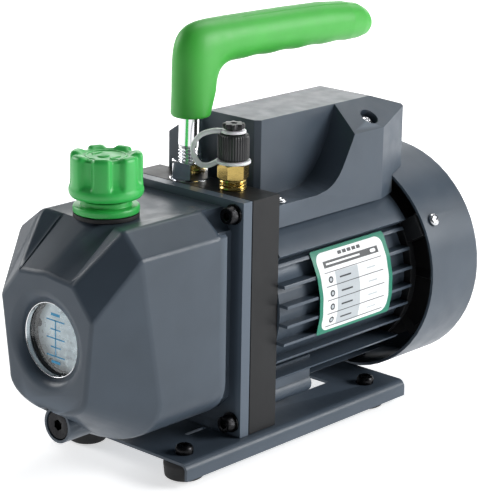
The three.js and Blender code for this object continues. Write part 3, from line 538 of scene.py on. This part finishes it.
def sight_glass():
    centre = at(0, 0, SIGHT_Z) @ TO_FRONT
    ring = rounded([(18.2, 86.4), (18.9, 86.4), (18.9, 88.6), (18.7, 88.9), (18.4, 88.9),
                    (18.2, 88.6), (18.2, 86.5)], 0.1)
    piece("sight_glass_bezel", [moved(hollow(ring), centre)], CHROME, stands_for=["sight_glass_ring"])
    lens = rounded([(CENTRE, 83.5), (18.5, 83.5), (18.5, 85.9), (16.9, 86.1), (9, 86.1),
                    (CENTRE, 86.1)], 0.4)
    piece("sight_glass_window", [moved(polar(lens), centre)], GLASS, stands_for=["sight_glass_lens"])

    def rim(angle):
        """The foil's edge, with five notches for the oil."""
        off = (angle - math.radians(97) + TURN / 10) % (TURN / 5) - TURN / 10
        inside = 2.2 ** 2 - (17.2 * math.sin(off)) ** 2
        return 17.2 * math.cos(off) - math.sqrt(inside) if inside > 0 else 18.5

    foil = [(CENTRE, 79.3), (rim, 79.3), (rim, 80.05)]
    foil += [(14.4 - 1.6 * k, 80.05 + 0.05 * (k % 2)) for k in range(9)] + [(CENTRE, 80.05)]
    piece("sight_glass_foil", [moved(polar(foil, 180), centre)], REFLECTOR,
          stands_for=["sight_glass_reflector"])

    def stroke(x0, z0, x1, z1, half=0.32):
        low = (min(x0, x1) - half, min(z0, z1) - half)
        high = (max(x0, x1) + half, max(z0, z1) + half)
        loop = [(low[0], low[1]), (high[0], low[1]), (high[0], high[1]), (low[0], high[1])]
        return lofted([[(x, y, SIGHT_Z + z) for x, z in loop] for y in (-86.22, -86.08)])

    marks = [stroke(0, -9, 0, 9)]
    for height, reach in ((9, 6), (4.5, 3.2), (0, 6), (-4.5, 3.2), (-9, 6)):
        marks.append(stroke(-reach, height, reach, height))
    for height in (12, -12):
        marks.append(stroke(-2.4, height, 2.4, height, 0.7))
    piece("sight_glass_scale", marks, SCALE_INK)


def drain():
    head = rounded([(5.2, 71.2), (5.2, 84.15), (7.3, 84.15), (7.3, 85.0), (6.9, 85.4),
                    (3.3, 85.4)], 0.2)
    socket = hex_radius(5.0)
    profile = [(CENTRE, 71.2), *head, (socket, 85.2), (socket, 82.6), (CENTRE, 82.4)]
    piece("drain_plug_turned", [moved(polar(profile), at(0, 0, DRAIN_Z) @ TO_FRONT)], BLACK_OXIDE,
          "drain_plug_body", ["drain_plug"])


def socket_screw(name, node, x, z):
    """A cap screw with a knurled head and its washer, head towards -Y."""
    knurl = 48

    def head(angle):
        return 4.22 + 0.07 * math.cos(knurl * angle)

    socket = hex_radius(4.0)
    profile = [(CENTRE, -18), (2.4, -18), (2.4, 0.3), (5.2, 0.3), (5.2, 1.2), (head, 1.25), (head, 5.6),
               (3.9, 6.2), (2.6, 6.25), (socket, 6.0), (socket, 3.8), (CENTRE, 3.4)]
    piece(name, [moved(polar(profile, 144), at(x, 0, z) @ TO_FRONT)], BLACK_OXIDE, stands_for=[node])


def oil_cap():
    lobes = 7

    def lobe(angle):
        """1 on a lobe, 0 in the groove beside it."""
        return 0.5 + 0.5 * math.tanh(2.6 * (math.cos(lobes * angle) + 0.3))

    def wall(radius, depth):
        return lambda angle: radius - depth * (1 - lobe(angle))

    def top(height, drop=1.5):
        return lambda angle: height - drop * (1 - lobe(angle))

    profile = [(CENTRE, 124), (7.2, 124), (7.6, 124.4), (7.6, 140), (16.5, 140), (17.1, 140.2),
               (17.7, 140.9), (18.15, 142), (18.28, 143), (18.2, 144), (18.0, 144.7),
               (wall(17.85, 0.2), 145.2), (wall(17.8, 0.9), 145.8), (wall(17.78, 1.9), 146.8),
               (wall(17.75, 2.5), 148.2), (wall(17.75, 2.55), 153), (wall(17.7, 2.55), 159),
               (wall(17.5, 2.5), top(160.2)), (wall(17.0, 2.3), top(160.95)),
               (wall(16.2, 1.8), top(161.3)), (wall(15.1, 0.9), top(161.35)),
               (13.8, top(161.25, 1.2)), (12.6, top(160.8, 0.6)), (11.8, 160.0), (11.4, 159.8),
               (10.3, 159.75), (10.1, 160.1), (9.5, 160.1), (9.3, 159.75), (CENTRE, 159.7)]
    parts = [polar(profile, 252)]
    drop = []
    for i in range(36):
        angle = TURN * i / 36
        reach = 2.6 * (1 - 0.42 * math.sin(angle))
        drop.append((reach * math.cos(angle) * (0.9 if math.sin(angle) > 0 else 1),
                     -1.2 + reach * math.sin(angle) * (1.9 if math.sin(angle) > 0 else 1)))
    parts.append(lofted([[(x * k, y * k, z) for x, y in drop]
                         for k, z in ((1, 159.65), (1, 160.05), (0.93, 160.15))]))
    for side in (-1, 1):
        bar = [(side * 6.3 + x, y) for x, y in ((-0.5, -3.2), (0.5, -3.2), (0.5, 3.2), (-0.5, 3.2))]
        parts.append(lofted([[(x, y, z) for x, y in bar] for z in (159.65, 160.1)]))
    piece("oil_cap_moulding", [moved(p, at(*FILLER, 0)) for p in parts], GREEN, "oil_cap_body",
          ["oil_cap"])


def filler_neck():
    outside = [(8.2, 118.2), (10.6, 118.2), (10.6, 132.3), (15.9, 132.3), (16.25, 132.7),
               (16.25, 134.9), (15.9, 135.6), (15.2, 135.95), (12.7, 135.95), (12.5, 136.4),
               (12.5, 138.1), (12.1, 138.5), (8.6, 138.5), (8.2, 138.1)]
    piece("filler_neck_moulding", [moved(hollow(rounded(outside, 0.3, 3)), at(*FILLER, 0))], GREEN,
          stands_for=["filler_neck"])


TANK_SPLIT = -17.5  # just in front of the scoops for the flange screws
TANK_HOLLOW = {"half": 29.6, "low": 27, "high": 124, "front": -76}
CLEAR_OF = {"filler": 20, "drain": 12.5, "eye": 24}  # radii round the three openings


def tank_is_busy(point):
    """Where bores, scoops and the hollow crowd the tank's edges too much for a wide rounding."""
    x, y, z = (point - SHIFT) / MM
    behind = y > TANK_SPLIT + 0.1
    inside = (abs(x) < TANK_HOLLOW["half"] and TANK_HOLLOW["low"] < z < TANK_HOLLOW["high"]
              and y > TANK_HOLLOW["front"])
    at_filler = z > 115 and math.hypot(x - FILLER[0], y - FILLER[1]) < CLEAR_OF["filler"]
    at_drain = math.hypot(x, z - DRAIN_Z) < CLEAR_OF["drain"]
    in_eye = math.hypot(x, z - SIGHT_Z) < CLEAR_OF["eye"]
    return behind or inside or at_filler or at_drain or in_eye


def tank_casting():
    """The CAD tank with the generous roundings of a casting on its long outer edges."""
    mesh = clean_copy("oil_tank")
    work = bmesh.new()
    work.from_mesh(mesh)
    bmesh.ops.bisect_plane(work, geom=[*work.verts, *work.edges, *work.faces],
                           plane_co=place(0, TANK_SPLIT, 0), plane_no=(0, 1, 0))
    weight = work.edges.layers.float.new("bevel_weight_edge")
    for edge in work.edges:
        crowded = any(tank_is_busy(vertex.co) for vertex in edge.verts)
        sharp = edge.calc_face_angle(0) > math.radians(13)
        edge[weight] = 1.0 if sharp and not crowded else 0.0
    work.to_mesh(mesh)
    work.free()
    made = new_object("oil_tank_casting", mesh, SLATE)
    bevel = made.modifiers.new("edges", "BEVEL")
    bevel.width = 1.7 * MM
    bevel.segments = 4
    bevel.limit_method = "WEIGHT"
    bevel.use_clamp_overlap = False
    made.modifiers.new("normals", "WEIGHTED_NORMAL").keep_sharp = True
    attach(made, "pump_body")
    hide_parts("oil_tank")


def oil_tank():
    tank_casting()
    sight_glass()
    drain()
    for name, x, z in (("upper_right", 36, 127.5), ("upper_left", -36, 127.5),
                       ("lower_right", 36, 18.5), ("lower_left", -36, 18.5)):
        socket_screw(f"cap_screw_{name}", f"tank_screw_{name}", x, z)
    oil_cap()
    filler_neck()
    paint("tank_gasket", RUBBER)
    paint("sight_glass_seal", RUBBER)
    paint("drain_plug_seal", RUBBER)
    paint("oil_cap_seal", RUBBER)
    gasket = rounded([(11.3, 129.8), (16.2, 129.8), (16.2, 131.9), (11.3, 131.9), (11.3, 130)], 0.5)
    piece("filler_gasket_ring", [moved(hollow(gasket), at(*FILLER, 0))], RUBBER,
          stands_for=["filler_gasket"])


oil_tank()


# ---------------------------------------------------------------- plate, handle, inlet

HANDLE = (-11.6, 17.5)
INLET = (18.1, 17.9)


def handle_path(bottom, rear):
    x, y = HANDLE
    return spline([(x, y, bottom), (x, y + 1, 178), (x, y + 3, 188), (x, y + 9, 197.5),
                   (x, y + 20, 201.8), (x, 84, 201.6), (x, *rear)], 90)


def handle():
    x, y = HANDLE
    circle = [(6 * math.cos(TURN * k / 40), 6 * math.sin(TURN * k / 40)) for k in range(40)]
    rod = swept(handle_path(151.5, (129, 199.8)), circle)
    screw = moved(thread(6, 1.75, 122, 151.8, 0.85), at(x, y, 0))
    piece("handle_rod_plated", [rod, screw], CHROME, stands_for=["handle_rod"])
    nut = hexagon(18, 134.25, 143.6, bore=5.9, turn=math.radians(-14.5))
    washer = hollow(rounded([(6.3, 134.02), (10.4, 134.02), (10.4, 134.24), (6.3, 134.24)], 0.05))
    piece("handle_nut_plated", [moved(p, at(x, y, 0)) for p in (nut, washer)], CHROME,
          stands_for=["handle_nut"])


# The grip's bar: distance from the flange, height of its middle, half its height.
GRIP_BAR = [(44.3, 202.8, 11.75), (84, 202.4, 11.6), (115, 201.8, 11.4), (134, 200.8, 10.8),
            (145, 199.8, 9.7), (151, 198.8, 7.9), (154.6, 198.0, 5.4), (156.0, 197.7, 3.0),
            (156.5, 197.6, 0.8)]


def between(table, y):
    """Straight-line reading of a table of rows that start with y."""
    for first, second in zip(table, table[1:]):
        if y <= second[0]:
            share = (y - first[0]) / (second[0] - first[0])
            return [a + (b - a) * share for a, b in zip(first[1:], second[1:])]
    return list(table[-1][1:])


def handle_grip():
    """A leg, an elbow about a pivot inside the corner, and a bar with finger waves below."""
    pivot_y, pivot_z, inner = 44.3, 179.0, 12.0
    leg_reach, bar_reach, power = 36.7, 35.55, 5
    x0, leg_y = HANDLE[0], HANDLE[1] + 0.3
    seams = [math.radians(66), math.radians(114)]
    arounds = [TURN * k / 56 for k in range(56)]
    for seam in seams:
        arounds = [a for a in arounds if abs(a - seam) > math.radians(3.4)]
        arounds += [seam + math.radians(step) for step in (-3, -2.2, -1.1, 0, 1.1, 2.2, 3)]
    arounds.sort()
    rings = []

    def ring(y, z, angle, half, width, wave=0.0, groove=0.0):
        points = []
        for around in arounds:
            out = half * math.sin(around)
            if out < 0:
                out += wave * math.sin(around) ** 2
            for seam in seams:
                out -= groove * max(0, 1 - abs(around - seam) / math.radians(2.2))
            points.append((x0 + width * math.cos(around), y - out * math.cos(angle),
                           z + out * math.sin(angle)))
        rings.append(points)

    for rise, shrink in ((0, 1.6), (0.3, 0.8), (0.9, 0.25), (1.8, 0)):
        ring(leg_y, 166.2 + rise, 0, 10.2 - shrink, 10.4 - shrink)
    leg_top = pivot_y - (leg_reach + inner) / 2
    for share in (0.25, 0.5, 0.75):
        half = 10.2 + ((leg_reach - inner) / 2 - 10.2) * share
        ring(leg_y + (leg_top - leg_y) * share, 168 + (pivot_z - 168) * share, 0, half, 10.4)
    steps = 20
    for i in range(steps + 1):
        angle = TURN / 4 * i / steps
        reach = ((math.cos(angle) / leg_reach) ** power
                 + (math.sin(angle) / bar_reach) ** power) ** (-1 / power)
        middle, half = (reach + inner) / 2, (reach - inner) / 2
        ring(pivot_y - middle * math.cos(angle), pivot_z + middle * math.sin(angle), angle, half,
             10.4 + 0.4 * i / steps)
    bar_end = GRIP_BAR[-1][0]
    for i in range(1, 111):
        t = i / 110
        if t > 0.85:
            t = 0.85 + 0.15 * math.sin((t - 0.85) / 0.15 * TURN / 4)
        y = pivot_y + (bar_end - pivot_y) * t
        middle, half = between(GRIP_BAR, y)
        wave = 0.6 * math.sin((y - 52) / 86 * 4 * math.pi) ** 2 if 52 < y < 138 else 0.0
        groove = 0.5 * min(1, max(0, (y - 49) / 2), max(0, (147 - y) / 2))
        ring(y, middle, TURN / 4, half, min(half, 10.8), wave, groove)
    piece("handle_grip_moulding", [lofted(rings)], GREEN_GRIP, stands_for=["handle_grip"],
          smooth_angle=60)


def inlet():
    here = at(*INLET, 0)
    hexa = hexagon(14, 139.4, 147.0, turn=0.4)
    collar = thread(7.1, 1.7, 134.3, 139.6, 0.75)
    neck = polar(rounded([(CENTRE, 146.8), (6, 146.8), (6, 148.8), (5.5, 149.2), (5.5, 150),
                          (CENTRE, 150)], 0.2))
    port = thread(5.5, 1.27, 149.9, 158.1, 0.6)
    root = polar([(CENTRE, 121.5), (6.5, 121.5), (6.5, 134.5), (CENTRE, 134.5)])
    piece("inlet_fitting_turned", [moved(p, here) for p in (root, collar, hexa, neck, port)], BRASS,
          stands_for=["inlet_fitting"])

    def rib(radius):
        return lambda angle: radius + 0.16 * math.cos(36 * angle)

    def star(radius):
        return lambda angle: radius * (1 + 0.14 * math.cos(8 * angle))

    shell = [(CENTRE, 159.8), (5.75, 159.8), (5.75, 149.2), (7.4, 149.15), (rib(7.8), 149.7),
             (rib(7.9), 150.7), (rib(7.9), 160.6), (rib(7.6), 161.6), (7.0, 162.15), (2.7, 162.2),
             (2.6, 162.5), (2.6, 164.4), (star(4.4), 164.55), (star(5.0), 165.0),
             (star(5.1), 166.8), (star(4.7), 167.45), (1.9, 167.5), (1.7, 166.7), (CENTRE, 166.7)]
    piece("inlet_cap_moulding", [moved(polar(shell, 216), here)], BLACK, "inlet_cap_body",
          ["inlet_cap"])
    paint("inlet_cap_seal", RUBBER)
    tether(here)


def tether(here):
    heading = Matrix.Rotation(math.radians(222), 4, "Z")
    path = spline([(7.6, 0, 147.9), (12.5, 0, 145.6), (17, 0, 146.4), (19.7, 0, 151), (19.9, 0, 156.2),
                   (16.6, 0, 160.9), (11, 0, 163.1), (5.6, 0, 163.4)], 48)
    section = []
    for k in range(20):
        angle = TURN * k / 20
        c, s = math.cos(angle), math.sin(angle)
        section.append((1.65 * math.copysign(abs(c) ** 0.6, c),
                        1.25 * math.copysign(abs(s) ** 0.6, s)))
    band = swept(path, section, Vector((0, 1, 0)))
    lower = hollow(rounded([(6.3, 147.25), (8.9, 147.25), (8.9, 148.85), (6.3, 148.85),
                            (6.3, 147.35)], 0.5))
    upper = hollow(rounded([(2.9, 162.6), (6.3, 162.6), (6.3, 164.1), (2.9, 164.1),
                            (2.9, 162.7)], 0.5))
    parts = [moved(band, here @ heading), moved(lower, here), moved(upper, here)]
    strap = piece("tether_strap_moulding", parts, WHITE, stands_for=["tether_strap"])
    strap.parent = None  # left out of every body; its mesh keeps its place in the world
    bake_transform(strap)


bevelled("centre_plate", BLACK_PLATE, 0.5)
handle()
handle_grip()
inlet()


# ---------------------------------------------------------------- motor, fan cover, label


def pan_screw(name, node, matrix):
    """A pan head with a cross recess, made pointing up with its seat at 0."""
    def recess(radius, height):
        def drive(angle):
            off = (angle + TURN / 8) % (TURN / 4) - TURN / 8
            return height - 0.9 * min(1, max(0, 1.5 - abs(radius * math.sin(off)) / 0.34))
        return drive

    profile = [(CENTRE, -6), (1.5, -6), (1.5, 0), (3.3, 0), (3.4, 0.25), (3.4, 0.9), (3.15, 1.3),
               (2.7, 1.6), (2.1, 1.82), (1.95, recess(9, 1.85))]
    profile += [(r, recess(r, 1.9)) for r in (1.85, 1.5, 1.2, 0.9, 0.6, 0.35)] + [(CENTRE, 0.95)]
    piece(name, [moved(polar(profile, 72), matrix)], ZINC, stands_for=[node])


def cover_screws():
    for i, degrees in enumerate((30, 150, 270)):
        turn = Matrix.Rotation(-math.radians(degrees), 4, "Y")
        matrix = at(0, 138.5, AXIS_Z) @ turn @ at(61.75, 0, 0) @ TO_SIDE
        pan_screw(f"cover_screw_{i + 1}", f"fan_cover_screw_{i + 1}", matrix)


FIN_TOP, FIN_PITCH = 26, 10.2


def film(y, degrees, lift):
    """A point on the label, which sags a little between the tips of the fins."""
    angle = math.radians(degrees)
    z = 49 * math.sin(angle)
    sag = 0.22 * (0.5 - 0.5 * math.cos(TURN * (z - FIN_TOP) / FIN_PITCH))
    radius = 49.75 - sag + lift
    return (radius * math.cos(angle), y, AXIS_Z + radius * math.sin(angle))


def film_patch(outline, lift, thickness=0.12):
    """A thin patch of film inside an outline of (y, degrees) given as rows from side to side."""
    points, faces = [], []
    rows = len(outline)
    across = 28
    for height in (lift, lift - thickness):
        for low, high, degrees in outline:
            for u in range(across + 1):
                points.append(film(low + (high - low) * u / across, degrees, height))
    size = rows * (across + 1)
    for v in range(rows - 1):
        for u in range(across):
            a = v * (across + 1) + u
            b = a + across + 1
            faces.append((a, a + 1, b + 1, b))
            faces.append((size + b, size + b + 1, size + a + 1, size + a))
    for u in range(across):
        faces.append((size + u, size + u + 1, u + 1, u))
        top = (rows - 1) * (across + 1) + u
        faces.append((top, top + 1, size + top + 1, size + top))
    for v in range(rows - 1):
        a, b = v * (across + 1), (v + 1) * (across + 1)
        faces.append((a, b, size + b, size + a))
        faces.append((a + across, size + a + across, size + b + across, b + across))
    return points, faces


def rows_between(y0, y1, low, high, corner=0.0, step=1.2):
    """Rows of an upright panel from low to high degrees, with rounded corners in millimetres."""
    count = max(2, round((high - low) / step))
    per_degree = 49.75 * math.radians(1)
    rows = []
    for k in range(count + 1):
        share = k / count
        if corner:
            share = 0.5 - 0.5 * math.cos(math.pi * share)
        degrees = low + (high - low) * share
        reach = min(degrees - low, high - degrees) * per_degree
        inset = 0.0
        if reach < corner:
            inset = corner - math.sqrt(max(0, corner ** 2 - (corner - reach) ** 2))
        rows.append((y0 + inset, y1 - inset, degrees))
    return rows


def rating_label():
    left, right, low, high = 51, 110, -18, 34.5
    piece("label_border", [film_patch(rows_between(left, right, low, high, 1.5), 0.0)], FILM_GREEN,
          stands_for=["rating_label"])
    white = rows_between(left + 2.6, right - 3.2, low + 2.2, high - 2.2, 5.0, 0.8)
    piece("label_panel", [film_patch(white, 0.06)], FILM_WHITE)
    dark = [film_patch(rows_between(left + 7, right - 8, 22.6, 26.8), 0.12)]
    grey = [film_patch(rows_between(left + 14, left + 32, -14, 19.4), 0.12)]
    rows = [19.6, 11.3, 3.0, -5.3, -13.6]
    for degrees in rows:
        dark.append(film_patch(rows_between(left + 6, right - 7, degrees, degrees + 0.42), 0.17))
    for k in range(5):
        y0 = left + 20 + 3.8 * k
        dark.append(film_patch(rows_between(y0, y0 + 2.9, 28.5, 30.6), 0.12))
    for degrees in rows[1:]:
        middle = degrees + 4.0
        name_bar = rows_between(left + 17, left + 26, middle - 0.5, middle + 0.5)
        value_bar = rows_between(left + 39, left + 46, middle - 0.4, middle + 0.4)
        dark.append(film_patch(name_bar, 0.17))
        grey.append(film_patch(value_bar, 0.12))
        disc = rows_between(left + 8.2, left + 11.8, middle - 2.0, middle + 2.0, 1.7, 0.5)
        eye = rows_between(left + 9, left + 11, middle - 1.1, middle + 1.1, 0.9, 0.4)
        dark.append(film_patch(disc, 0.12))
        grey.append(film_patch(eye, 0.18))
    light = [film_patch(rows_between(left + 9, left + 36, 24.2, 25.3), 0.18),
             film_patch(rows_between(right - 14.5, right - 10, 23.6, 25.8, 1.0, 0.5), 0.18)]
    piece("label_dark_print", dark, FILM_DARK)
    piece("label_grey_print", grey, FILM_GREY)
    piece("label_light_print", light, FILM_WHITE)


def motor():
    bevelled("motor_housing", SLATE, 0.45)
    bevelled("fan_cover", SLATE, 0.35, smooth_angle=40)
    cover_screws()
    rating_label()
    paint("stator_core", LAMINATIONS)
    paint("stator_windings", COPPER)
    for inner in ("motor_rotor", "motor_shaft", "front_bearing", "rear_bearing", "pump_cylinder",
                  "pump_end_plate", "vane_rotor"):
        paint(inner, IRON)
    for inner in ("vane_1", "vane_2"):
        paint(inner, COMPOSITE)
    bevelled("rear_end_shield", BLACK_PLATE, 0.6)
    bevelled("cooling_fan", BLACK, 0.35)
    paint("run_capacitor", BLACK)


motor()


# ---------------------------------------------------------------- terminal box


def terminal_box():
    bevelled("terminal_box", SLATE, 0.8, 3)
    slope = math.atan2(12.5, 18.6)
    for side, name in ((1, "rear_right"), (-1, "rear_left")):
        tilt = Matrix.Rotation(side * slope, 4, "Y")
        pan_screw(f"shoulder_screw_{name}", f"box_screw_{name}",
                  at(side * 28.4, 111.7, 157.6) @ tilt @ at(0, 0, -3.7))
    pan_screw("ledge_screw", "box_screw_front", at(31.5, 38.5, 125.6))
    bevelled("power_inlet", BLACK, 0.5)
    bevelled("switch_bezel", BLACK, 0.5)
    bevelled("switch_rocker", BLACK, 0.5)


terminal_box()


# ---------------------------------------------------------------- base and feet


def feet():
    for end, y in (("front", -33), ("rear", 108)):
        for side, x in (("right", 35), ("left", -35)):
            here = at(x, y, 0)
            foot = rounded([(CENTRE, -1.2), (8.4, -1.2), (9.8, -0.3), (10.05, 1.6), (10.55, 6.4),
                            (9.9, 8.6), (8.7, 9.2), (2.85, 9.2), (2.85, 3.05), (CENTRE, 3.05)], 0.5)
            piece(f"foot_moulding_{end}_{side}", [moved(polar(foot, 64), here)], RUBBER,
                  stands_for=[f"foot_{end}_{side}"])
            socket = hex_radius(3.0)
            screw = [(CENTRE, 3.6), (2.4, 3.6), (2.4, 11.25), (4.5, 11.25), (4.6, 11.5), (4.6, 13.6),
                     (4.1, 14.7), (3.2, 15.45), (2.2, 15.6), (socket, 15.45), (socket, 13.6),
                     (CENTRE, 13.3)]
            piece(f"foot_button_screw_{end}_{side}", [moved(polar(screw, 64), here)], BLACK_OXIDE,
                  stands_for=[f"foot_screw_{end}_{side}"])


bevelled("base_plate", SLATE, 0.35)
feet()
